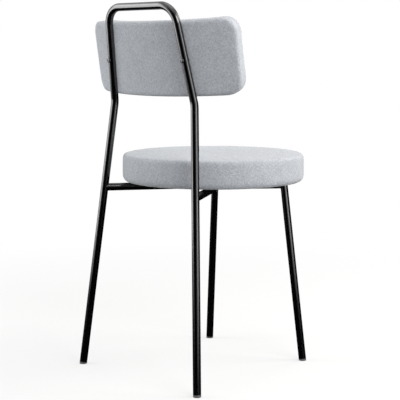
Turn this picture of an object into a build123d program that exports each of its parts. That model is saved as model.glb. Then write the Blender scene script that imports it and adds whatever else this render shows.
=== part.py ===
from build123d import *
import os
from math import asin, atan2, cos, degrees, hypot, sin, sqrt, tan

# Dining chair: a bent tube frame, a round padded seat and a curved padded back.
# Millimetres. +Z is up, the front is -Y and the sitter's left is +X.
# Setbacks and advances are measured behind and ahead of the seat's centre,
# and drops down from the chair's top.
# The finished chair is moved so that its box stands centred on the origin.

# Frame tube, the same all over the chair
TUBE_OD = 17.2
TUBE_WALL = 1.5
WELD_GAP = 0.1

# Rear hoop: both rear legs and the back's uprights, one tube bent four times
REAR_FOOT_SPREAD = 375.0
REAR_FOOT_SETBACK = 237.5
KINK_SPREAD = 254.6
KINK_SETBACK = 185.0
KINK_DROP = 215.0
KINK_BEND = 60.0
HOOP_SPREAD = 206.4
HOOP_SETBACK = 223.2
HOOP_BEND = 42.0
OVERALL_HEIGHT = 820.0

# Front legs, mitred to the front yoke
FRONT_FOOT_SPREAD = 305.6
FRONT_FOOT_ADVANCE = 143.7
FRONT_CORNER_SPREAD = 222.0
FRONT_CORNER_ADVANCE = 120.0

# Two V-shaped yokes under the seat, welded back to back at the seat's centre
YOKE_HEIGHT = 411.6
YOKE_BEND = 42.0

# Glides pushed into the four tube ends
GLIDE_HEAD = 4.6
GLIDE_EDGE = 1.0
GLIDE_STEM = 18.0
GLIDE_CLEARANCE = 0.1

# Seat
SEAT_DIAMETER = 415.0
SEAT_THICKNESS = 64.0
SEAT_CROWN = 2.0
SEAT_TOP_EDGE = 8.0
SEAT_BOTTOM_EDGE = 12.0
SEAT_BASE_THICKNESS = 12.0
SEAT_BASE_MARGIN = 14.0
COVER_THICKNESS = 1.5
COVER_RETURN = 30.0
DUST_COVER_GAP = 0.5
DUST_COVER_THICKNESS = 1.0

# Backrest, measured at the middle of the pad
BACK_MIDDLE_DROP = 121.0
BACK_WIDTH = 449.0
BACK_HEIGHT = 161.0
BACK_THICKNESS = 44.0
BACK_REAR_RADIUS = 495.0
BACK_CORNER = 32.0
BACK_EDGE = 7.5
BACK_GAP = 0.3
BACK_REAR_FOAM = 10.0
PANEL_THICKNESS = 10.0
PANEL_MARGIN = 12.0
PANEL_CORNER = 20.0

# Screws, tee nuts, spacers, washers and plugs
SCREW_DIAMETER = 6.0
SCREW_CLEARANCE = 0.3
SCREW_TIP = 3.0
HEAD_DIAMETER = 11.0
HEAD_HEIGHT = 3.3
HEAD_ROUND = 2.0
SOCKET_ACROSS_FLATS = 4.0
SOCKET_DEPTH = 1.8
NUT_BARREL_DIAMETER = 8.0
NUT_BARREL_LENGTH = 7.0
NUT_FLANGE_DIAMETER = 18.0
NUT_FLANGE_THICKNESS = 1.5
THREAD_GAP = 0.05
SEATING_GAP = 0.1
SEAT_SPACER_DIAMETER = 12.0
SEAT_SPACER_HEIGHT = 3.7
SADDLE_RIM = 1.2
ACCESS_CLEARANCE = 0.6
PLUG_CLEARANCE = 0.1
REAR_BOLT_FROM_LEG = 110.0
FRONT_BOLT_FROM_CORNER = 52.0

# Staples that hold the cover's return to the seat base
STAPLE_COUNT = 24
STAPLE_CROWN = 10.0
STAPLE_WIRE = 0.8
STAPLE_LEG = 7.0

# Sizes that follow from those above
TUBE_R = TUBE_OD / 2
TUBE_BORE_R = TUBE_R - TUBE_WALL
TUBE_SPACE_R = TUBE_R + SEATING_GAP
HOOP_AXIS_HEIGHT = OVERALL_HEIGHT - TUBE_R
KINK_HEIGHT = OVERALL_HEIGHT - KINK_DROP
BACK_MIDDLE_HEIGHT = OVERALL_HEIGHT - BACK_MIDDLE_DROP
SEAT_R = SEAT_DIAMETER / 2
SEAT_UNDER = YOKE_HEIGHT + TUBE_R + SEAT_SPACER_HEIGHT
SEAT_TOP = SEAT_UNDER + SEAT_THICKNESS
BASE_R = SEAT_R - SEAT_BASE_MARGIN
BASE_UNDER = SEAT_UNDER + COVER_THICKNESS
BASE_TOP = BASE_UNDER + SEAT_BASE_THICKNESS
RETURN_R = SEAT_R - COVER_RETURN
SCREW_R = SCREW_DIAMETER / 2
SCREW_HOLE_R = SCREW_R + SCREW_CLEARANCE
NUT_R = NUT_BARREL_DIAMETER / 2
FLANGE_R = NUT_FLANGE_DIAMETER / 2
SEAT_SPACER_R = SEAT_SPACER_DIAMETER / 2
SADDLE_R = HEAD_DIAMETER / 2
SADDLE_UNDER = sqrt(TUBE_BORE_R**2 - SADDLE_R**2) - SADDLE_RIM
ACCESS_R = HEAD_DIAMETER / 2 + ACCESS_CLEARANCE
CUT_SIZE = 4 * TUBE_OD

UP = Vector(0, 0, 1)
STANDING = (Align.CENTER, Align.CENTER, Align.MIN)
HANGING = (Align.CENTER, Align.CENTER, Align.MAX)


def along(start, end, distance):
    """Point at a distance from start on the line towards end."""
    return start + (end - start).normalized() * distance


def opposite(point):
    """Mirror image of a point, on the chair's other side."""
    return Vector(-point.X, point.Y, point.Z)


def mirrored(solid):
    """Mirror image of a piece, on the chair's other side."""
    return mirror(solid, about=Plane.YZ)


def both_sides(solid):
    return [solid, mirrored(solid)]


def rod(start, way, radius, low, high):
    """Solid round bar on an axis, from one distance along it to another."""
    return Plane(origin=start + way * low, z_dir=way) * Cylinder(radius, high - low, align=STANDING)


def bolt_rods(bolts, way, radius, low, high):
    """One bar on each bolt's axis."""
    return [rod(point, way, radius, low, high) for point in bolts]


def half_space(point, way):
    """Block that fills one side of a plane near a point."""
    return Plane(origin=point, z_dir=way) * Box(CUT_SIZE, CUT_SIZE, CUT_SIZE, align=STANDING)


def tube(path):
    """Hollow round tube along a path."""
    start = Plane(origin=path @ 0, z_dir=path % 0)
    return sweep(start * (Circle(TUBE_R) - Circle(TUBE_BORE_R)), path=path)


# Points on the frame's axes, on the sitter's left
rear_foot = Vector(REAR_FOOT_SPREAD / 2, REAR_FOOT_SETBACK, 0)
kink = Vector(KINK_SPREAD / 2, KINK_SETBACK, KINK_HEIGHT)
hoop_corner = Vector(HOOP_SPREAD / 2, HOOP_SETBACK, HOOP_AXIS_HEIGHT)
front_foot = Vector(FRONT_FOOT_SPREAD / 2, -FRONT_FOOT_ADVANCE, 0)
front_corner = Vector(FRONT_CORNER_SPREAD / 2, -FRONT_CORNER_ADVANCE, YOKE_HEIGHT)
yoke_joint = rear_foot + (kink - rear_foot) * (YOKE_HEIGHT / KINK_HEIGHT)

rear_leg_way = (kink - rear_foot).normalized()
front_leg_way = (front_corner - front_foot).normalized()


def yoke_vertex(end):
    """Sharp corner of a V whose rounded apex stops half a weld gap from the seat's centre."""
    side = 1 if end.Y > 0 else -1
    reach = abs(end.Y) - (TUBE_R + WELD_GAP / 2 + YOKE_BEND)
    half_angle = atan2(end.X, reach) - asin(YOKE_BEND / hypot(end.X, reach))
    return Vector(0, side * (abs(end.Y) - end.X / tan(half_angle)), YOKE_HEIGHT)


rear_arm_way = (yoke_vertex(yoke_joint) - yoke_joint).normalized()
front_arm_way = (yoke_vertex(front_corner) - front_corner).normalized()

# Seat screws cross the yoke arms, back screws cross the uprights
rear_seat_bolt = yoke_joint + rear_arm_way * REAR_BOLT_FROM_LEG
front_seat_bolt = front_corner + front_arm_way * FRONT_BOLT_FROM_CORNER
seat_bolts = [rear_seat_bolt, opposite(rear_seat_bolt), front_seat_bolt, opposite(front_seat_bolt)]

upright = hoop_corner - kink
upright_lean = atan2(upright.Y, upright.Z)
back_bolt = kink + upright * ((BACK_MIDDLE_HEIGHT - KINK_HEIGHT) / upright.Z)
back_bolt_way = Vector(0, -cos(upright_lean), sin(upright_lean))
back_bolts = [back_bolt, opposite(back_bolt)]


# Steel frame
def make_rear_hoop():
    hoop = tube(
        FilletPolyline(
            along(rear_foot, kink, GLIDE_HEAD),
            kink,
            hoop_corner,
            opposite(hoop_corner),
            opposite(kink),
            opposite(along(rear_foot, kink, GLIDE_HEAD)),
            radius=[KINK_BEND, HOOP_BEND, HOOP_BEND, KINK_BEND],
        )
    )
    return hoop - bolt_rods(back_bolts, back_bolt_way, SCREW_HOLE_R, -TUBE_OD, TUBE_OD)


def yoke_tube(end, overrun):
    """V-bent tube from an axis point to its mirror image, run on past both.

    The seat's screws go up through it: wide holes below let their heads in.
    """
    vertex = yoke_vertex(end)
    tip = along(end, vertex, -overrun)
    bent = tube(FilletPolyline(tip, vertex, opposite(tip), radius=YOKE_BEND))
    bent -= bolt_rods(seat_bolts, UP, SCREW_HOLE_R, 0, TUBE_OD)
    return bent - bolt_rods(seat_bolts, -UP, ACCESS_R, 0, TUBE_OD)


def make_rear_yoke():
    leg_space = rod(rear_foot, rear_leg_way, TUBE_R + WELD_GAP, 0, KINK_HEIGHT)
    return yoke_tube(yoke_joint, 0) - both_sides(leg_space)


mitre = (-front_leg_way - front_arm_way).normalized()


def make_front_yoke():
    leg_side = half_space(front_corner - mitre * (WELD_GAP / 2), mitre)
    return yoke_tube(front_corner, TUBE_OD) - both_sides(leg_side)


def make_front_leg():
    bar = tube(Line(front_foot + front_leg_way * GLIDE_HEAD, front_corner + front_leg_way * TUBE_OD))
    return bar - half_space(front_corner + mitre * (WELD_GAP / 2), -mitre)


def make_glide(foot, way):
    """Plug with a stem in the tube's bore and a head that ends flat on the floor."""
    head = rod(foot, way, TUBE_R, -TUBE_R, GLIDE_HEAD) & half_space(Vector(foot.X, foot.Y, 0), UP)
    head = fillet(head.edges().group_by(Axis.Z)[0], GLIDE_EDGE)
    return head + rod(foot, way, TUBE_BORE_R - GLIDE_CLEARANCE, GLIDE_HEAD, GLIDE_HEAD + GLIDE_STEM)


# Fasteners, along +Z with the seating face of the head or flange at zero
def make_screw(length):
    head = rod(Vector(), UP, HEAD_DIAMETER / 2, -HEAD_HEIGHT, 0)
    head = fillet(head.edges().group_by(Axis.Z)[0], HEAD_ROUND)
    socket = extrude(RegularPolygon(SOCKET_ACROSS_FLATS / 2, 6, major_radius=False), SOCKET_DEPTH)
    head -= Pos(0, 0, -HEAD_HEIGHT) * socket
    return head + rod(Vector(), UP, SCREW_R, 0, length)


def make_tee_nut():
    nut = rod(Vector(), UP, FLANGE_R, 0, NUT_FLANGE_THICKNESS)
    nut += rod(Vector(), UP, NUT_R, -NUT_BARREL_LENGTH, 0)
    return nut - rod(Vector(), UP, SCREW_R + THREAD_GAP, -NUT_BARREL_LENGTH, NUT_FLANGE_THICKNESS)


def set_on(bolts, way, distance, piece):
    """Group of copies of a piece on the bolts' axes, at one distance along them."""
    return Compound([Plane(origin=point + way * distance, z_dir=way) * piece for point in bolts])


# Seat, on the seat's own axis
def seat_disc(radius, low, high):
    return Pos(0, 0, low) * Cylinder(radius, high - low, align=STANDING)


def seat_form(inset):
    """Closed seat shape with a domed top: its outside, or what the cover encloses."""
    radius = SEAT_R - inset
    dome_r = (radius**2 + SEAT_CROWN**2) / (2 * SEAT_CROWN)
    form = seat_disc(radius, SEAT_UNDER + inset, SEAT_TOP - inset)
    form &= Pos(0, 0, SEAT_TOP - inset - dome_r) * Sphere(dome_r)
    rims = form.edges().filter_by(lambda edge: edge.is_closed)
    form = fillet(rims.sort_by(Axis.Z)[-1], SEAT_TOP_EDGE - inset)
    return fillet(form.edges().sort_by(Axis.Z)[0], SEAT_BOTTOM_EDGE - inset)


def make_staples():
    """Ring of staples driven up through the cover's return into the base."""
    staple = Box(STAPLE_CROWN, STAPLE_WIRE, STAPLE_WIRE, align=HANGING)
    leg = Pos((STAPLE_CROWN - STAPLE_WIRE) / 2, 0, 0) * Box(STAPLE_WIRE, STAPLE_WIRE, STAPLE_LEG, align=STANDING)
    staple += both_sides(leg)
    ring = Pos(0, (RETURN_R + BASE_R) / 2, SEAT_UNDER)
    return [Rot(0, 0, turn * 360 / STAPLE_COUNT) * ring * staple for turn in range(STAPLE_COUNT)]


def seat_spacer(bolt, arm_way):
    """Collar between a yoke arm and the seat base, hollowed to sit on the tube."""
    collar = rod(bolt, UP, SEAT_SPACER_R, 0, BASE_UNDER - YOKE_HEIGHT)
    collar -= rod(bolt, arm_way, TUBE_SPACE_R, -SEAT_SPACER_DIAMETER, SEAT_SPACER_DIAMETER)
    return collar - rod(bolt, UP, SCREW_HOLE_R, 0, BASE_UNDER - YOKE_HEIGHT)


def saddle_washer(bolt, arm_way):
    """Washer inside a yoke arm, round above to fit the bore and flat below for the screw's head."""
    washer = rod(bolt, UP, SADDLE_R, SADDLE_UNDER, TUBE_R)
    washer &= rod(bolt, arm_way, TUBE_BORE_R - SEATING_GAP, -HEAD_DIAMETER, HEAD_DIAMETER)
    return washer - rod(bolt, UP, SCREW_HOLE_R, 0, TUBE_R)


def hole_plug(bolt, arm_way):
    """Plug that closes the wide hole under a screw, flush with the tube's outside and bore."""
    plug = rod(bolt, -UP, ACCESS_R - PLUG_CLEARANCE, 0, TUBE_OD)
    plug &= rod(bolt, arm_way, TUBE_R, -HEAD_DIAMETER, HEAD_DIAMETER)
    return plug - rod(bolt, arm_way, TUBE_BORE_R, -HEAD_DIAMETER, HEAD_DIAMETER)


def on_arms(make):
    """Group of one kind of small piece, one on each yoke arm."""
    left = [make(rear_seat_bolt, rear_arm_way), make(front_seat_bolt, front_arm_way)]
    return Compound(left + [mirrored(piece) for piece in left])


def make_seat():
    nut_depth = BASE_TOP - YOKE_HEIGHT
    pocket_end = nut_depth + NUT_FLANGE_THICKNESS + SCREW_TIP + SEATING_GAP
    screw_length = nut_depth + NUT_FLANGE_THICKNESS + SCREW_TIP - SADDLE_UNDER
    staples = make_staples()
    inside = seat_form(COVER_THICKNESS)
    base = seat_disc(BASE_R, BASE_UNDER, BASE_TOP)
    dust_cover = seat_disc(RETURN_R - DUST_COVER_GAP, BASE_UNDER - DUST_COVER_THICKNESS, BASE_UNDER)
    return {
        "seat_cover": seat_form(0) - inside - seat_disc(RETURN_R, SEAT_UNDER, BASE_UNDER) - staples,
        "seat_foam": inside
        - seat_disc(BASE_R + SEATING_GAP, BASE_UNDER, BASE_TOP)
        - bolt_rods(seat_bolts, UP, FLANGE_R + SEATING_GAP, nut_depth, pocket_end),
        "seat_base": base - bolt_rods(seat_bolts, UP, NUT_R + SEATING_GAP, 0, nut_depth) - staples,
        "seat_dust_cover": dust_cover - bolt_rods(seat_bolts, UP, SEAT_SPACER_R + SEATING_GAP, 0, nut_depth),
        "seat_staples": Compound(staples),
        "seat_spacers": on_arms(seat_spacer),
        "seat_saddle_washers": on_arms(saddle_washer),
        "seat_hole_plugs": on_arms(hole_plug),
        "seat_tee_nuts": set_on(seat_bolts, UP, nut_depth, make_tee_nut()),
        "seat_screws": set_on(seat_bolts, UP, SADDLE_UNDER, make_screw(screw_length)),
    }


# Backrest: slabs bent about an upright axis ahead of the sitter, that axis being local Z
BACK_FRONT_RADIUS = BACK_REAR_RADIUS - BACK_THICKNESS
BACK_HALF_ANGLE = asin(BACK_WIDTH / 2 / BACK_REAR_RADIUS)


def bent_slab(rear_radius, front_radius, margin, corner):
    """Curved slab with rounded corners, drawn in from the pad's outline by a margin."""
    half = degrees(BACK_HALF_ANGLE - margin / BACK_REAR_RADIUS)
    rear = CenterArc((0, 0), rear_radius, 90 - half, 2 * half)
    front = CenterArc((0, 0), front_radius, 90 - half, 2 * half)
    section = make_face([rear, front, Line(rear @ 0, front @ 0), Line(rear @ 1, front @ 1)])
    slab = extrude(section, BACK_HEIGHT / 2 - margin, both=True)
    return fillet(slab.edges().filter_by(GeomType.LINE).filter_by(Axis.Z, reverse=True), corner)


def pad_form(inset):
    """Pad with rounded edges: its outside, or what the cover encloses."""
    slab = bent_slab(BACK_REAR_RADIUS - inset, BACK_FRONT_RADIUS + inset, inset, BACK_CORNER - inset)
    broad_faces = slab.faces().filter_by(GeomType.CYLINDER).sort_by(SortBy.AREA)[-2:]
    return fillet(broad_faces[0].edges() + broad_faces[1].edges(), BACK_EDGE - inset)


# The pad's rear face keeps one gap from both uprights, from its top to its bottom
upright_reach = BACK_REAR_RADIUS + TUBE_R + BACK_GAP
upright_drift = upright.X / hypot(upright.Y, upright.Z) * BACK_HEIGHT / 2
top_reach = sqrt(upright_reach**2 - (back_bolt.X + upright_drift) ** 2)
bottom_reach = sqrt(upright_reach**2 - (back_bolt.X - upright_drift) ** 2)
middle_reach = sqrt(upright_reach**2 - back_bolt.X**2)
lean_relief = atan2(top_reach - bottom_reach, BACK_HEIGHT)
back_lean = upright_lean - lean_relief
rearward = Vector(0, cos(back_lean), -sin(back_lean))
back_frame = Plane(
    origin=Vector(0, back_bolt.Y, back_bolt.Z) - rearward * middle_reach,
    x_dir=(1, 0, 0),
    z_dir=(0, sin(back_lean), cos(back_lean)),
)


def make_back():
    panel_rear = BACK_REAR_RADIUS - COVER_THICKNESS - BACK_REAR_FOAM
    panel_front = panel_rear - PANEL_THICKNESS
    nut_sink = FLANGE_R * tan(asin(back_bolt.X / panel_front))
    nut_depth = (middle_reach - sqrt(panel_front**2 - back_bolt.X**2)) / cos(lean_relief) - nut_sink
    screw_end = nut_depth + NUT_FLANGE_THICKNESS + SCREW_TIP

    def placed(piece):
        return back_frame * piece

    pad = placed(pad_form(0))
    inside = placed(pad_form(COVER_THICKNESS))
    panel = placed(bent_slab(panel_rear, panel_front, PANEL_MARGIN, PANEL_CORNER))
    panel_space = placed(
        bent_slab(
            panel_rear + SEATING_GAP,
            panel_front - SEATING_GAP,
            PANEL_MARGIN - SEATING_GAP,
            PANEL_CORNER + SEATING_GAP,
        )
    )
    front_side = placed(Cylinder(panel_front - SEATING_GAP, BACK_HEIGHT))
    screw_holes = bolt_rods(back_bolts, back_bolt_way, SCREW_HOLE_R, 0, nut_depth)
    barrel_holes = bolt_rods(back_bolts, back_bolt_way, NUT_R + SEATING_GAP, 0, nut_depth)
    flange_pockets = bolt_rods(
        back_bolts, back_bolt_way, FLANGE_R + SEATING_GAP, nut_depth, screw_end + SEATING_GAP
    )
    return {
        "back_cover": pad - inside - screw_holes,
        "back_front_foam": (inside & front_side) - flange_pockets,
        "back_rear_foam": inside - front_side - panel_space - screw_holes,
        "back_panel": panel - barrel_holes - flange_pockets,
        "back_tee_nuts": set_on(back_bolts, back_bolt_way, nut_depth, make_tee_nut()),
        "back_screws": set_on(back_bolts, back_bolt_way, -TUBE_R, make_screw(TUBE_R + screw_end)),
    }


# All pieces, by the name of their node
front_leg = make_front_leg()
rear_glide = make_glide(rear_foot, rear_leg_way)
front_glide = make_glide(front_foot, front_leg_way)
pieces = {
    "rear_hoop": make_rear_hoop(),
    "rear_yoke": make_rear_yoke(),
    "front_yoke": make_front_yoke(),
    "front_left_leg": front_leg,
    "front_right_leg": mirrored(front_leg),
    "rear_left_glide": rear_glide,
    "rear_right_glide": mirrored(rear_glide),
    "front_left_glide": front_glide,
    "front_right_glide": mirrored(front_glide),
    **make_seat(),
    **make_back(),
}

# Centre the chair's box on the origin, front to back
boxes = [piece.bounding_box() for piece in pieces.values()]
middle = (min(box.min.Y for box in boxes) + max(box.max.Y for box in boxes)) / 2
os.makedirs("parts", exist_ok=True)
for name, piece in pieces.items():
    export_step(Pos(0, -middle, 0) * piece, f"parts/{name}.step")
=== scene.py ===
from math import asin, cos, pi, radians, sin

import bmesh
import bpy
from mathutils import Euler, Matrix, Vector


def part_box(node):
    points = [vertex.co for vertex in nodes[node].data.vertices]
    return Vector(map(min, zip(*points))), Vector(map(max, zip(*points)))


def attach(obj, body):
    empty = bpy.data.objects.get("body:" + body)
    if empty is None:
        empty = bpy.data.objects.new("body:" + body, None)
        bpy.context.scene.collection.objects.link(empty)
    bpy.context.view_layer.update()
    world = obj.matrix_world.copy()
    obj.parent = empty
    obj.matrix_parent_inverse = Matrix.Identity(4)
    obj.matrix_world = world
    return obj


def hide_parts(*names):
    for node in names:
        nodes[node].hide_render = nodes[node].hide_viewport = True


# Dining chair: black tube frame, round padded seat and curved padded back in grey cloth.
# Metres, in the chair's own frame: +Z is up, the sitter faces -Y and +X is the sitter's left.

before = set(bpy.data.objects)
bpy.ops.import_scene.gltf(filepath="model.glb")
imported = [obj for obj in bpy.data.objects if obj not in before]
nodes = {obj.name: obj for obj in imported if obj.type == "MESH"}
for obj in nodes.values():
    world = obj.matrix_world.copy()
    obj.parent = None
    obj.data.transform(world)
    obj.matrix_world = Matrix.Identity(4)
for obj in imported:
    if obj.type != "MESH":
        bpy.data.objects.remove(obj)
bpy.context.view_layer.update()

# Seat pad, in the space that the seat's cover holds
seat_low, seat_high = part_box("seat_cover")
SEAT_CENTRE = (seat_low + seat_high) / 2
SEAT_R = (seat_high.x - seat_low.x) / 2
SEAT_UNDER = seat_low.z
SEAT_CROWN = seat_high.z
SEAT_RIM_DROP = 0.002
SEAT_TOP_EDGE = 0.007
SEAT_BOTTOM_EDGE = 0.012
SEAT_RETURN = 0.030
RETURN_FOLD = 0.004
UNDERSIDE_RECESS = 0.0017

# Back pad: a slab bent about an axis ahead of the sitter, leaning back
BACK_REAR_R = 0.495
BACK_WIDTH = 0.449
BACK_HEIGHT = 0.161
BACK_THICKNESS = 0.044
BACK_CORNER = 0.032
BACK_EDGE = 0.0075
BACK_LEAN = radians(8.925)
BACK_AXIS = Vector((0, -0.30123, 0.77506))
BACK_FRAME = Matrix.Translation(BACK_AXIS) @ Euler((-BACK_LEAN, 0, 0)).to_matrix().to_4x4()
BACK_HALF_ARC = BACK_REAR_R * asin(BACK_WIDTH / 2 / BACK_REAR_R)

# Stuffing: each pad starts a little flat and swells by at most PAD_SWELL
PAD_SWELL = 0.004
PAD_VOXEL = 0.004
STUFFING_PRESSURE = 4.0
STUFFING_FRAMES = 20

# Fineness of the round forms
ROUNDING_STEPS = 6
SPIN_STEPS = 160
CARD_STEPS = 16
MAT_STEPS = 64
FLOOR_STEPS = 96

# Cloth: its yarns are about 1 mm apart in the real one and drawn coarser so that they show.
# A yarn's shade drifts over YARN_RUN, and the next yarn's lies SHADE_STEP away in the same noise.
YARN_PITCH = 0.0022
YARN_RUN = 0.005
SHADE_STEP = 3.7
YARN_FULLNESS = 0.5
MOTTLE_SHARE = 0.1

# Cosine that parts a pad's faces from its edges, where the cloth turns
TURN_COSINE = 0.6

# Blender's wave texture has this many radians to a metre at a scale of 1
WAVE_RADIANS = 20

# Studio: the floor is painted and glows a little, and fades to plain white away from the chair
FLOOR_R = 14.0
FLOOR_SHADE = 0.3
FLOOR_GLOW = 0.6
FADE_FROM = 0.5
FADE_TO = 1.8
ROOM_LIGHT = 0.475
WARM_WHITE = "#FFFAF2"

# Black cards round the chair, by the degrees they span, and the mat under it
CARD_R = 2.3
CARD_HEIGHT = 2.6
CARD_SPANS = ((78, 155), (208, 300))
MAT_LIFT = 0.0004

# Camera, from the photograph's own perspective
CAMERA_AT = Vector((-1.8594, 1.8705, 0.7145))
CAMERA_AIM = Vector((0.0213, 0.0022, 0.3768))
CAMERA_LENS_MM = 104.35
CAMERA_SENSOR_MM = 36.0


def colour(hex_code):
    """Linear colour from an sRGB hex code."""
    channels = [int(hex_code[first : first + 2], 16) / 255 for first in (1, 3, 5)]
    return tuple(c / 12.92 if c <= 0.04045 else ((c + 0.055) / 1.055) ** 2.4 for c in channels) + (1.0,)


def scale_for(millimetres):
    """Texture scale for a pattern whose grains are this far apart."""
    return 1000 / millimetres


def add(tree, kind, inputs=None, **settings):
    """New shader node with its settings, and values or links for its inputs."""
    node = tree.nodes.new("ShaderNode" + kind)
    for name, value in settings.items():
        setattr(node, name, value)
    for key, value in (inputs or {}).items():
        if isinstance(value, bpy.types.NodeSocket):
            tree.links.new(value, node.inputs[key])
        else:
            node.inputs[key].default_value = value
    return node


def new_material(name):
    """Empty material and its tree."""
    material = bpy.data.materials.new(name)
    material.use_nodes = True
    material.node_tree.nodes.clear()
    return material, material.node_tree


def surface(tree, inputs):
    """Ends a material with one shader and its inputs."""
    shader = add(tree, "BsdfPrincipled", inputs)
    add(tree, "OutputMaterial", {"Surface": shader.outputs[0]})


# Finishes

def powder_coated_steel():
    """Steel tube, powder coated satin black: soft highlights over a very fine orange peel."""
    material, tree = new_material("powder_coated_steel_satin_black")
    place = add(tree, "TexCoord").outputs["Object"]
    peel = add(tree, "TexNoise", {"Vector": place, "Scale": scale_for(2.5), "Detail": 2.0})
    drift = add(tree, "TexNoise", {"Vector": place, "Scale": scale_for(60), "Detail": 3.0})
    gloss = add(tree, "MapRange", {"Value": drift.outputs[0], "To Min": 0.13, "To Max": 0.21})
    shades = {"Color1": colour("#020203"), "Color2": colour("#060607")}
    tone = add(tree, "MixRGB", {"Fac": drift.outputs[0], **shades})
    bump = add(tree, "Bump", {"Height": peel.outputs[0], "Strength": 0.08, "Distance": 0.0002})
    surface(
        tree,
        {
            "Base Color": tone.outputs[0],
            "Roughness": gloss.outputs[0],
            "Normal": bump.outputs[0],
            "Specular IOR Level": 1.0,
        },
    )
    return material


def laid_flat(tree):
    """Yarn directions of the seat: across on the top and the underside, round and up on the side."""
    coord = add(tree, "TexCoord")
    here = add(tree, "VectorMath", {0: coord.outputs["Object"], 1: SEAT_CENTRE}, operation="SUBTRACT")
    flat = add(tree, "SeparateXYZ", {0: here.outputs[0]})
    turn = add(tree, "Math", {0: flat.outputs[1], 1: flat.outputs[0]}, operation="ARCTAN2")
    round_way = add(tree, "Math", {0: turn.outputs[0], 1: SEAT_R}, operation="MULTIPLY")
    normal = add(tree, "SeparateXYZ", {0: coord.outputs["Normal"]})
    upward = add(tree, "Math", {0: normal.outputs[2]}, operation="ABSOLUTE")
    on_side = add(tree, "Math", {0: upward.outputs[0], 1: TURN_COSINE}, operation="LESS_THAN")
    across = add(tree, "Mix", {0: on_side.outputs[0], 2: flat.outputs[0], 3: round_way.outputs[0]})
    along = add(tree, "Mix", {0: on_side.outputs[0], 2: flat.outputs[1], 3: flat.outputs[2]})
    return across.outputs[0], along.outputs[0]


def laid_round_the_back(tree):
    """Yarn directions of the back pad: along its curve and up its lean, and through it at its edges."""
    coord = add(tree, "TexCoord")
    turned = {"Rotation": (-BACK_LEAN, 0, 0)}
    here = add(
        tree,
        "Mapping",
        {"Vector": coord.outputs["Object"], "Location": BACK_AXIS, **turned},
        vector_type="TEXTURE",
    )
    normal = add(tree, "Mapping", {"Vector": coord.outputs["Normal"], **turned}, vector_type="TEXTURE")
    bent = add(tree, "SeparateXYZ", {0: here.outputs[0]})
    turn = add(tree, "Math", {0: bent.outputs[0], 1: bent.outputs[1]}, operation="ARCTAN2")
    round_way = add(tree, "Math", {0: turn.outputs[0], 1: BACK_REAR_R}, operation="MULTIPLY")
    out = add(tree, "CombineXYZ", {0: bent.outputs[0], 1: bent.outputs[1], 2: 0.0})
    through = add(tree, "VectorMath", {0: out.outputs[0]}, operation="LENGTH").outputs["Value"]
    outward = add(tree, "VectorMath", {0: out.outputs[0]}, operation="NORMALIZE")
    faced = add(
        tree, "VectorMath", {0: normal.outputs[0], 1: outward.outputs[0]}, operation="DOT_PRODUCT"
    )
    broad = add(tree, "Math", {0: faced.outputs["Value"]}, operation="ABSOLUTE")
    on_edge = add(tree, "Math", {0: broad.outputs[0], 1: TURN_COSINE}, operation="LESS_THAN")
    normal_parts = add(tree, "SeparateXYZ", {0: normal.outputs[0]})
    upward = add(tree, "Math", {0: normal_parts.outputs[2]}, operation="ABSOLUTE")
    on_top = add(tree, "Math", {0: upward.outputs[0], 1: TURN_COSINE}, operation="GREATER_THAN")
    at_end = add(
        tree, "Math", {0: on_edge.outputs[0], 1: on_top.outputs[0]}, operation="SUBTRACT", use_clamp=True
    )
    across = add(tree, "Mix", {0: at_end.outputs[0], 2: round_way.outputs[0], 3: through})
    along = add(tree, "Mix", {0: on_top.outputs[0], 2: bent.outputs[2], 3: through})
    return across.outputs[0], along.outputs[0]


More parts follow.
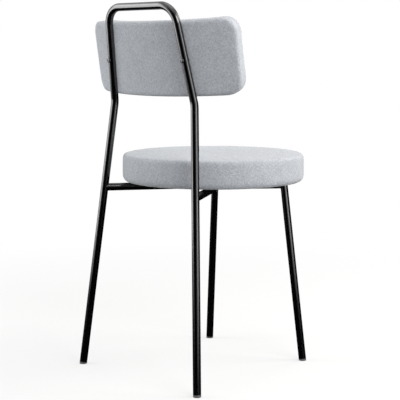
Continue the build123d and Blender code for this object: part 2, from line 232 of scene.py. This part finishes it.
def woven_wool_blend(name, yarn_directions):
    """Wool-blend upholstery cloth, plain woven: matt, slightly fuzzy, each yarn its own shade of grey,
    with painted shade in the gaps between the yarns.
    """
    material, tree = new_material(name)
    across, along = yarn_directions(tree)
    waves, counts = [], []
    for way in (across, along):
        wave = add(tree, "Math", {0: way, 1: pi / YARN_PITCH}, operation="MULTIPLY")
        waves.append(add(tree, "Math", {0: wave.outputs[0]}, operation="SINE").outputs[0])
        count = add(tree, "Math", {0: way, 1: 1 / YARN_PITCH}, operation="MULTIPLY")
        counts.append(add(tree, "Math", {0: count.outputs[0]}, operation="FLOOR").outputs[0])
    shades = []
    for count, run in ((counts[0], along), (counts[1], across)):
        spot = add(tree, "CombineXYZ", {0: count, 1: run, 2: 0.0})
        spread = add(
            tree,
            "VectorMath",
            {0: spot.outputs[0], 1: (SHADE_STEP, 1 / YARN_RUN, 1.0)},
            operation="MULTIPLY",
        )
        drift = add(tree, "TexNoise", {"Vector": spread.outputs[0], "Scale": 1.0, "Detail": 2.0})
        shades.append(drift.outputs[0])
    crossing = add(tree, "Math", {0: waves[0], 1: waves[1]}, operation="MULTIPLY")
    over = add(tree, "Math", {0: crossing.outputs[0], 1: 0.0}, operation="GREATER_THAN")
    shade = add(tree, "Mix", {0: over.outputs[0], 2: shades[0], 3: shades[1]})
    round_yarn = add(tree, "Math", {0: crossing.outputs[0]}, operation="ABSOLUTE")
    height = add(tree, "Math", {0: round_yarn.outputs[0], 1: YARN_FULLNESS}, operation="POWER")
    place = add(tree, "TexCoord").outputs["Object"]
    mottle = add(tree, "TexNoise", {"Vector": place, "Scale": scale_for(30), "Detail": 4.0})
    blend = add(tree, "Mix", {0: MOTTLE_SHARE, 2: shade.outputs[0], 3: mottle.outputs[0]})
    contrast = add(tree, "MapRange", {"Value": blend.outputs[0], "From Min": 0.3, "From Max": 0.7})
    greys = {"Color1": colour("#9EA2A9"), "Color2": colour("#CED2D8")}
    yarn = add(tree, "MixRGB", {"Fac": contrast.outputs[0], **greys})
    # Painted shade: the yarns' colour is darkened towards the gaps between them, where shade falls in the
    # weave.
    painted_gap_shade = add(tree, "MapRange", {"Value": height.outputs[0], "To Min": 0.78, "To Max": 1.0})
    tone = add(
        tree,
        "MixRGB",
        {"Fac": 1.0, "Color1": yarn.outputs[0], "Color2": painted_gap_shade.outputs[0]},
        blend_type="MULTIPLY",
    )
    bump = add(tree, "Bump", {"Height": height.outputs[0], "Strength": 0.5, "Distance": 0.0006})
    surface(
        tree,
        {
            "Base Color": tone.outputs[0],
            "Roughness": 0.95,
            "Normal": bump.outputs[0],
            "Specular IOR Level": 0.25,
            "Sheen Weight": 0.15,
            "Sheen Roughness": 0.6,
        },
    )
    return material


def moulded_polyethylene(name, dark, light, rough):
    """Moulded polyethylene: matt, with the faint mottle of its grain."""
    material, tree = new_material(name)
    place = add(tree, "TexCoord").outputs["Object"]
    grain = add(tree, "TexNoise", {"Vector": place, "Scale": scale_for(1.2), "Detail": 3.0})
    shades = {"Color1": colour(dark), "Color2": colour(light)}
    tone = add(tree, "MixRGB", {"Fac": grain.outputs[0], **shades})
    bump = add(tree, "Bump", {"Height": grain.outputs[0], "Strength": 0.15, "Distance": 0.0002})
    surface(tree, {"Base Color": tone.outputs[0], "Roughness": rough, "Normal": bump.outputs[0]})
    return material


def spun_polypropylene():
    """Black spunbonded polypropylene under the seat: dull felted fibres with pressed dots."""
    material, tree = new_material("spunbonded_polypropylene_black")
    place = add(tree, "TexCoord").outputs["Object"]
    fibre = add(
        tree, "TexNoise", {"Vector": place, "Scale": scale_for(2), "Detail": 6.0, "Distortion": 1.5}
    )
    dots = add(tree, "TexVoronoi", {"Vector": place, "Scale": scale_for(3), "Randomness": 0.2})
    shades = {"Color1": colour("#121213"), "Color2": colour("#2A2A2C")}
    tone = add(tree, "MixRGB", {"Fac": fibre.outputs[0], **shades})
    bump = add(tree, "Bump", {"Height": dots.outputs["Distance"], "Strength": 0.3, "Distance": 0.0004})
    surface(tree, {"Base Color": tone.outputs[0], "Roughness": 0.85, "Normal": bump.outputs[0]})
    return material


def cold_headed_steel(name, dark, light, rough):
    """Cold-headed steel, plated or blackened: metallic, with a fine mottle in its tone and gloss."""
    material, tree = new_material(name)
    place = add(tree, "TexCoord").outputs["Object"]
    mottle = add(tree, "TexNoise", {"Vector": place, "Scale": scale_for(1), "Detail": 4.0})
    shades = {"Color1": colour(dark), "Color2": colour(light)}
    tone = add(tree, "MixRGB", {"Fac": mottle.outputs[0], **shades})
    spread = {"To Min": rough - 0.08, "To Max": rough + 0.08}
    gloss = add(tree, "MapRange", {"Value": mottle.outputs[0], **spread})
    surface(tree, {"Base Color": tone.outputs[0], "Metallic": 1.0, "Roughness": gloss.outputs[0]})
    return material


def birch_plywood():
    """Raw birch plywood: pale and dull, fine grain along it and its veneers in dark and light bands."""
    material, tree = new_material("birch_plywood_raw")
    place = add(tree, "TexCoord").outputs["Object"]
    fine = scale_for(2.78)
    stretched = add(
        tree, "VectorMath", {0: place, 1: (scale_for(27.8), fine, fine)}, operation="MULTIPLY"
    )
    grain = add(tree, "TexNoise", {"Vector": stretched.outputs[0], "Scale": 1.0, "Detail": 5.0})
    veneers = 2 * pi / WAVE_RADIANS * scale_for(5.53)
    plies = add(tree, "TexWave", {"Vector": place, "Scale": veneers}, bands_direction="Z")
    mix = add(tree, "Mix", {0: 0.4, 2: grain.outputs[0], 3: plies.outputs[1]})
    shades = {"Color1": colour("#B08A5C"), "Color2": colour("#E0C49A")}
    tone = add(tree, "MixRGB", {"Fac": mix.outputs[0], **shades})
    surface(tree, {"Base Color": tone.outputs[0], "Roughness": 0.75})
    return material


# Pads

def arc_points(centre, radius, start, end):
    """Points of a rounding in a section, from one angle to another in degrees."""
    steps = [start + (end - start) * step / ROUNDING_STEPS for step in range(ROUNDING_STEPS + 1)]
    return [(centre[0] + radius * cos(radians(a)), centre[1] + radius * sin(radians(a))) for a in steps]


def round_pad_form(bm):
    """Closed round pad with a flat top, turned about the seat's axis."""
    rim = SEAT_CROWN - SEAT_RIM_DROP
    low, high = SEAT_BOTTOM_EDGE, SEAT_TOP_EDGE
    section = arc_points((SEAT_R - low, SEAT_UNDER + low), low, -90, 0)
    section += arc_points((SEAT_R - high, rim - high), high, 0, 90)
    rings = []
    for radius, z in section:
        ring = []
        for step in range(SPIN_STEPS):
            turn = 2 * pi * step / SPIN_STEPS
            x = SEAT_CENTRE.x + radius * cos(turn)
            y = SEAT_CENTRE.y + radius * sin(turn)
            ring.append(bm.verts.new((x, y, z)))
        rings.append(ring)
    for inner, outer in zip(rings, rings[1:]):
        for step in range(SPIN_STEPS):
            after = (step + 1) % SPIN_STEPS
            bm.faces.new((inner[step], inner[after], outer[after], outer[step]))
    bm.faces.new(list(reversed(rings[0])))
    bm.faces.new(rings[-1])


def flat_slab_form(bm):
    """Closed slab with rounded corners and edges, as long as the back pad's rear is round its curve."""
    half = Vector((BACK_HALF_ARC, BACK_THICKNESS / 2, BACK_HEIGHT / 2))
    bmesh.ops.create_cube(bm, size=2.0, matrix=Matrix.Diagonal((*half, 1)))
    rounding = {"segments": ROUNDING_STEPS, "profile": 0.5, "affect": "EDGES"}
    corners = [e for e in bm.edges if abs(e.verts[0].co.y - e.verts[1].co.y) > half.y]
    bmesh.ops.bevel(bm, geom=corners, offset=BACK_CORNER, **rounding)
    rims = [e for e in bm.edges if abs(e.verts[0].co.y - e.verts[1].co.y) < half.y]
    bmesh.ops.bevel(bm, geom=rims, offset=BACK_EDGE, **rounding)


def bend_to_back(mesh):
    """Bends a flat slab to the back's curve and sets it on its lean."""
    for vertex in mesh.vertices:
        turn = vertex.co.x / BACK_REAR_R
        radius = BACK_REAR_R - BACK_THICKNESS / 2 + vertex.co.y
        vertex.co = BACK_FRAME @ Vector((radius * sin(turn), radius * cos(turn), vertex.co.z))


def settle(piece):
    """Applies a piece's modifiers to its mesh."""
    bpy.context.view_layer.update()
    graph = bpy.context.evaluated_depsgraph_get()
    done = bpy.data.meshes.new_from_object(piece.evaluated_get(graph))
    piece.modifiers.clear()
    piece.data = done


def even_mesh(name, make_form):
    """New piece from a closed form, remeshed to even quads."""
    bm = bmesh.new()
    make_form(bm)
    bmesh.ops.recalc_face_normals(bm, faces=bm.faces)
    rough = bpy.data.meshes.new(name + "_form")
    bm.to_mesh(rough)
    bm.free()
    piece = bpy.data.objects.new(name, rough)
    bpy.context.scene.collection.objects.link(piece)
    remesh = piece.modifiers.new("even", "REMESH")
    remesh.mode = "VOXEL"
    remesh.voxel_size = PAD_VOXEL
    settle(piece)
    return piece


def swell(piece, held):
    """Lets the stuffing press the cloth out, except where it is held, and scales that to a firm pad."""
    before = [vertex.co.copy() for vertex in piece.data.vertices]
    group = piece.vertex_groups.new(name="held")
    group.add([vertex.index for vertex in piece.data.vertices if held(vertex.co)], 1.0, "REPLACE")
    cloth = piece.modifiers.new("stuffing", "CLOTH")
    cloth.settings.vertex_group_mass = "held"
    cloth.settings.use_pressure = True
    cloth.settings.uniform_pressure_force = STUFFING_PRESSURE
    cloth.settings.effector_weights.gravity = 0.0
    cloth.point_cache.frame_end = STUFFING_FRAMES
    for step in range(1, STUFFING_FRAMES + 1):
        bpy.context.scene.frame_set(step)
    settle(piece)
    piece.vertex_groups.clear()
    moves = [vertex.co - start for vertex, start in zip(piece.data.vertices, before)]
    firmness = PAD_SWELL / max(move.length for move in moves)
    for vertex, start, move in zip(piece.data.vertices, before, moves):
        vertex.co = start + move * firmness


def dress(piece, material):
    """Cloth, smooth shading and one subdivision for a pad that rides on the chair."""
    piece.data.materials.clear()
    piece.data.materials.append(material)
    for polygon in piece.data.polygons:
        polygon.use_smooth = True
    fine = piece.modifiers.new("fine", "SUBSURF")
    fine.levels = 1
    fine.render_levels = 1
    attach(piece, "root")


def make_seat_pad():
    """Seat pad: held on the board's underside, where the cloth's return steps up to the dust cover."""
    pad = even_mesh("seat_pad", round_pad_form)
    swell(pad, lambda point: point.z < SEAT_UNDER + PAD_VOXEL / 2)
    fold = SEAT_R - SEAT_RETURN
    for vertex in pad.data.vertices:
        reach = (vertex.co.xy - SEAT_CENTRE.xy).length
        if vertex.co.z < SEAT_UNDER + PAD_VOXEL / 2:
            inside = min(max((fold + RETURN_FOLD - reach) / RETURN_FOLD, 0), 1)
            vertex.co.z = SEAT_UNDER + UNDERSIDE_RECESS * inside
    cloth = woven_wool_blend("wool_blend_plain_weave_seat", laid_flat)
    dress(pad, cloth)
    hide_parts("seat_cover", "seat_foam")


def make_back_pad():
    """Back pad: bent to the sitter's back, and held on its rear face, which lies on the uprights."""
    pad = even_mesh("back_pad", flat_slab_form)
    bend_to_back(pad.data)
    to_bend_axis = BACK_FRAME.inverted()
    swell(pad, lambda point: (to_bend_axis @ point).xy.length > BACK_REAR_R - PAD_VOXEL / 2)
    cloth = woven_wool_blend("wool_blend_plain_weave_back", laid_round_the_back)
    dress(pad, cloth)
    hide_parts("back_cover", "back_front_foam", "back_rear_foam")


def finish(material, *names):
    """One finish for pieces that keep their shape."""
    for name in names:
        nodes[name].data.materials.clear()
        nodes[name].data.materials.append(material)


make_seat_pad()
make_back_pad()
finish(
    powder_coated_steel(),
    "rear_hoop",
    "rear_yoke",
    "front_yoke",
    "front_left_leg",
    "front_right_leg",
)
finish(
    moulded_polyethylene("polyethylene_moulded_grey", "#5A5A5B", "#6C6C6D", rough=0.55),
    "rear_left_glide",
    "rear_right_glide",
    "front_left_glide",
    "front_right_glide",
)
finish(
    moulded_polyethylene("polyethylene_moulded_black", "#0E0E0F", "#171718", rough=0.5),
    "seat_spacers",
    "seat_saddle_washers",
    "seat_hole_plugs",
)
finish(spun_polypropylene(), "seat_dust_cover")
finish(
    cold_headed_steel("steel_zinc_plated", "#9A9B9C", "#BFC0C1", rough=0.35),
    "seat_staples",
    "seat_tee_nuts",
    "back_tee_nuts",
)
finish(
    cold_headed_steel("steel_black_oxide", "#505052", "#727274", rough=0.3),
    "seat_screws",
    "back_screws",
)
finish(birch_plywood(), "seat_base", "back_panel")


# Studio

def facing(place, aim):
    """Rotation of a lamp or camera that looks from a place to its aim."""
    return (aim - place).to_track_quat("-Z", "Y").to_euler()


def at(turn, distance, height):
    """Place round the chair: degrees from the sitter's left towards the chair's back, and metres."""
    return Vector((distance * cos(radians(turn)), distance * sin(radians(turn)), height))


def seen_rays(tree):
    """One for rays that the camera, a mirror or a window sends, zero for the rest."""
    path = add(tree, "LightPath").outputs
    seen = add(tree, "Math", {0: path["Is Camera Ray"], 1: path["Is Glossy Ray"]}, operation="MAXIMUM")
    seen = add(
        tree, "Math", {0: seen.outputs[0], 1: path["Is Transmission Ray"]}, operation="MAXIMUM"
    )
    return seen.outputs[0]


def pale_floor():
    """Matt white studio floor: part of its white is its own glow, so that the shadows stay faint."""
    bpy.ops.mesh.primitive_circle_add(
        vertices=FLOOR_STEPS, radius=FLOOR_R, fill_type="NGON", location=(0, 0, 0)
    )
    floor = bpy.context.object
    floor.name = "studio_floor"
    material, tree = new_material("matt_white_studio_paint")
    paint = add(tree, "BsdfDiffuse", {"Color": (FLOOR_SHADE, FLOOR_SHADE, FLOOR_SHADE, 1)})
    glow = add(tree, "Emission", {"Color": (1, 1, 1, 1), "Strength": FLOOR_GLOW})
    near = add(tree, "AddShader", {0: paint.outputs[0], 1: glow.outputs[0]})
    white = add(tree, "Emission", {"Color": (1, 1, 1, 1), "Strength": 1.0})
    away = add(tree, "VectorMath", {0: add(tree, "TexCoord").outputs["Object"]}, operation="LENGTH")
    fade = add(
        tree,
        "MapRange",
        {"Value": away.outputs["Value"], "From Min": FADE_FROM, "From Max": FADE_TO},
        interpolation_type="SMOOTHSTEP",
    )
    shown = add(tree, "MixShader", {0: fade.outputs[0], 1: near.outputs[0], 2: white.outputs[0]})
    mix = add(tree, "MixShader", {0: seen_rays(tree), 1: paint.outputs[0], 2: shown.outputs[0]})
    add(tree, "OutputMaterial", {"Surface": mix.outputs[0]})
    floor.data.materials.append(material)


def mirrored_only(name, mesh):
    """Black felt that only mirrored rays meet: it keeps the tubes' faces dark and takes no light away."""
    felt = bpy.data.objects.new(name, mesh)
    bpy.context.scene.collection.objects.link(felt)
    material, tree = new_material("matt_black_felt")
    surface(tree, {"Base Color": colour("#030303"), "Roughness": 1.0, "Specular IOR Level": 0.0})
    mesh.materials.append(material)
    felt.visible_camera = False
    felt.visible_diffuse = False
    felt.visible_transmission = False
    felt.visible_shadow = False


def black_cards():
    """Curved black cards that stand on the camera's side and on the right."""
    for start, end in CARD_SPANS:
        bm = bmesh.new()
        columns = []
        for step in range(CARD_STEPS + 1):
            foot = at(start + (end - start) * step / CARD_STEPS, CARD_R, 0)
            columns.append((bm.verts.new(foot), bm.verts.new(foot + Vector((0, 0, CARD_HEIGHT)))))
        for one, two in zip(columns, columns[1:]):
            bm.faces.new((one[0], two[0], two[1], one[1]))
        mesh = bpy.data.meshes.new("black_card")
        bm.to_mesh(mesh)
        bm.free()
        mirrored_only("black_card", mesh)


def black_mat():
    """Round black mat that lies on the floor under the chair."""
    bm = bmesh.new()
    lifted = Matrix.Translation((0, 0, MAT_LIFT))
    bmesh.ops.create_circle(bm, cap_ends=True, radius=CARD_R, segments=MAT_STEPS, matrix=lifted)
    mesh = bpy.data.meshes.new("black_mat")
    bm.to_mesh(mesh)
    bm.free()
    mirrored_only("black_mat", mesh)


def white_room():
    """World: white where it is seen or mirrored, and a dim even light otherwise."""
    world = bpy.data.worlds.new("white_room")
    world.use_nodes = True
    tree = world.node_tree
    tree.nodes.clear()
    dim = add(tree, "Background", {"Color": (1, 1, 1, 1), "Strength": ROOM_LIGHT})
    white = add(tree, "Background", {"Color": (1, 1, 1, 1), "Strength": 1.0})
    mix = add(tree, "MixShader", {0: seen_rays(tree), 1: dim.outputs[0], 2: white.outputs[0]})
    add(tree, "OutputWorld", {"Surface": mix.outputs[0]})
    bpy.context.scene.world = world


def softbox(name, place, aim_height, width, height, watts, tint="#FFFFFF"):
    """Soft area light that faces a point on the chair's upright axis."""
    light = bpy.data.lights.new(name, "AREA")
    light.shape = "RECTANGLE"
    light.size = width
    light.size_y = height
    light.energy = watts
    light.color = colour(tint)[:3]
    lamp = bpy.data.objects.new(name, light)
    lamp.location = place
    lamp.rotation_euler = facing(place, Vector((0, 0, aim_height)))
    bpy.context.scene.collection.objects.link(lamp)
    return lamp


def light_past_the_uprights(lamp):
    """Lets a lamp light the back pad evenly, with no shadow of the uprights and their screws on it."""
    passed = bpy.data.collections.new(lamp.name + "_passes")
    for name in ("rear_hoop", "back_screws"):
        passed.objects.link(nodes[name])
    for entry in passed.collection_objects:
        entry.light_linking.link_state = "EXCLUDE"
    lamp.light_linking.blocker_collection = passed


pale_floor()
white_room()
black_cards()
black_mat()
softbox("overhead", at(0, 0, 2.6), aim_height=0.4, width=1.4, height=1.4, watts=7, tint=WARM_WHITE)
left_panel = softbox("left_panel", at(45, 2.0, 1.0), aim_height=0.8, width=1.0, height=1.6, watts=21)
light_past_the_uprights(left_panel)
left_high = softbox("left_high", at(30, 1.9, 1.9), aim_height=0.6, width=1.0, height=0.8, watts=7)
light_past_the_uprights(left_high)
softbox("key", at(167, 1.9, 1.5), aim_height=0.6, width=1.0, height=0.8, watts=19)
softbox("right_strip", at(185, 2.0, 0.9), aim_height=0.7, width=0.45, height=1.4, watts=8)
softbox(
    "right_high", at(225, 1.9, 2.0), aim_height=0.5, width=1.0, height=1.0, watts=30, tint=WARM_WHITE
)
softbox("front", at(270, 2.1, 1.3), aim_height=0.5, width=1.0, height=1.0, watts=14)

camera = bpy.data.cameras.new("camera")
camera.lens = CAMERA_LENS_MM
camera.sensor_width = CAMERA_SENSOR_MM
view = bpy.data.objects.new("camera", camera)
view.location = CAMERA_AT
view.rotation_euler = facing(CAMERA_AT, CAMERA_AIM)
bpy.context.scene.collection.objects.link(view)
bpy.context.scene.camera = view
bpy.context.scene.view_settings.view_transform = "Standard"
